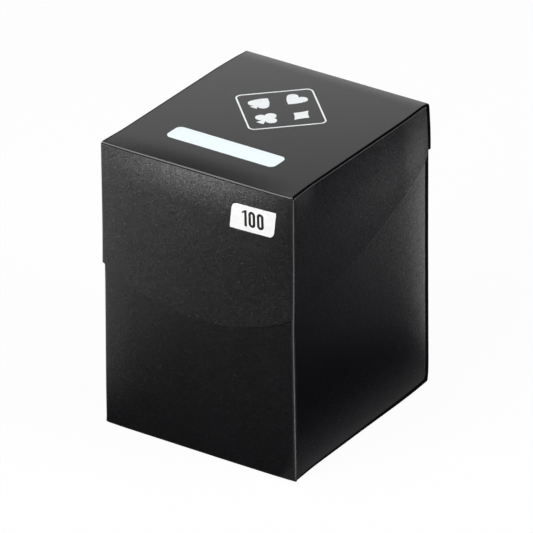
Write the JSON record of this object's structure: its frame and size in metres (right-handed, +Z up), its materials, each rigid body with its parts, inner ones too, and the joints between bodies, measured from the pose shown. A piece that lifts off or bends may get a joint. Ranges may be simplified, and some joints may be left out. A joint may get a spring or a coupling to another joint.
{
  "type": "card deck box",
  "caption": "Flip-top box of folded matte black polypropylene sheet that holds a deck of sleeved playing cards under a hinged hood lid.",
  "frame": {"origin": "middle of the closed box's footprint, at table height", "axes": "+Z up, -Y towards the front flap, +Y towards the hinge, +X to the right seen from the front"},
  "size_m": [0.0722, 0.0793, 0.0991],
  "materials": {
    "panel_sheet": "grained matte, extruded sheet",
    "tab_sheet": "smooth satin, pressed flat at the scored lines",
    "hinge_web": "pressed thin, stress-polished",
    "write_on_ink": "screen-printed write-on patch",
    "badge_film": "semi-gloss printed film"
  },
  "bodies": {
    "box": {"front_wall": "panel_sheet", "bottom_panel": "panel_sheet", "back_wall": "panel_sheet", "right_side_wall": "panel_sheet", "left_side_wall": "panel_sheet", "bottom_right_tab": "tab_sheet", "bottom_left_tab": "tab_sheet", "back_right_tab": "tab_sheet", "back_left_tab": "tab_sheet", "hinge_crease": "hinge_web"},
    "lid": {"lid_top_panel": "panel_sheet", "lid_front_flap": "panel_sheet", "lid_back_flap": "panel_sheet", "lid_right_wing": "panel_sheet", "lid_left_wing": "panel_sheet", "lid_top_right_tab": "tab_sheet", "lid_top_left_tab": "tab_sheet", "lid_back_right_tab": "tab_sheet", "lid_back_left_tab": "tab_sheet", "write_on_label": "write_on_ink", "capacity_badge": "badge_film"}
  },
  "joints": [
    {"name": "lid_hinge", "type": "hinge", "parent": "box", "child": "lid", "pos_m": [0, 0.0396, 0.083], "axis": [-1, 0, 0], "range_deg": [0, 170]}
  ]
}
